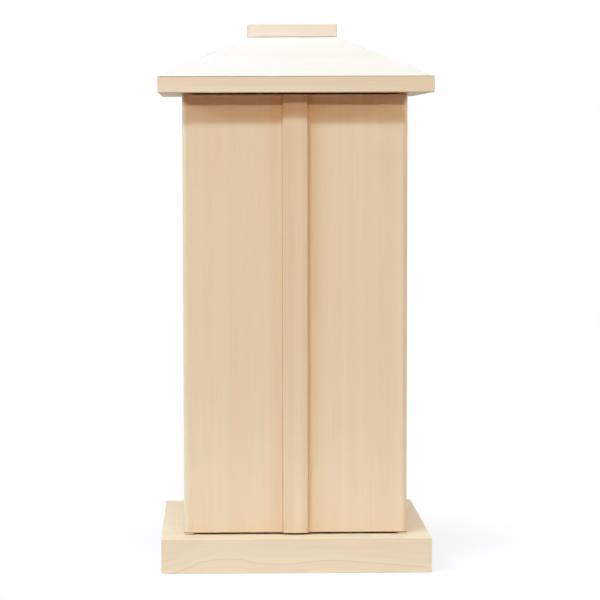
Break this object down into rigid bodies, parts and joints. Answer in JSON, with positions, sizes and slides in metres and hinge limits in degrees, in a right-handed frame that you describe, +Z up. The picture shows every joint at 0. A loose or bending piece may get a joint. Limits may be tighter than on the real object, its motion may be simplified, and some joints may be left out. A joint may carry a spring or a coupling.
{
  "type": "wooden shrine cabinet",
  "caption": "Plain softwood shrine cabinet: thick base, tall box body behind two pivot-hung doors with a cover strip, and a hipped board roof under a flat ridge block.",
  "frame": {"origin": "on the floor under the middle of the base", "axes": "+Z up, front with the doors towards -Y, +X to the right seen from the front"},
  "size_m": [0.223, 0.182, 0.45],
  "materials": {
    "plain_wood": "planed, unvarnished",
    "pale_roof_wood": "planed, unvarnished",
    "door_wood": "planed, unvarnished",
    "pin_wood": "turned, unvarnished"
  },
  "bodies": {
    "case": {"base_board": "plain_wood", "side_board_left": "plain_wood", "side_board_right": "plain_wood", "back_board": "plain_wood", "eave_board": "plain_wood", "roof_slope_front": "pale_roof_wood", "roof_slope_back": "pale_roof_wood", "roof_slope_left": "pale_roof_wood", "roof_slope_right": "pale_roof_wood", "ridge_block": "pale_roof_wood", "pivot_collar_left_bottom": "pin_wood", "pivot_collar_left_top": "pin_wood", "pivot_collar_right_bottom": "pin_wood", "pivot_collar_right_top": "pin_wood"},
    "right_door": {"door_right": "door_wood", "door_strip": "door_wood", "pivot_pin_right_bottom": "pin_wood", "pivot_pin_right_top": "pin_wood"},
    "left_door": {"door_left": "door_wood", "pivot_pin_left_bottom": "pin_wood", "pivot_pin_left_top": "pin_wood"}
  },
  "joints": [
    {"name": "right_door_hinge", "type": "hinge", "parent": "case", "child": "right_door", "pos_m": [0.0875, -0.066, 0.21], "axis": [0, 0, 1], "range_deg": [0, 180]},
    {"name": "left_door_hinge", "type": "hinge", "parent": "case", "child": "left_door", "pos_m": [-0.0875, -0.066, 0.21], "axis": [0, 0, -1], "range_deg": [0, 180]}
  ],
  "couplings": [
    {"joint": "left_door_hinge", "follows": "right_door_hinge", "ratio": 1}
  ]
}
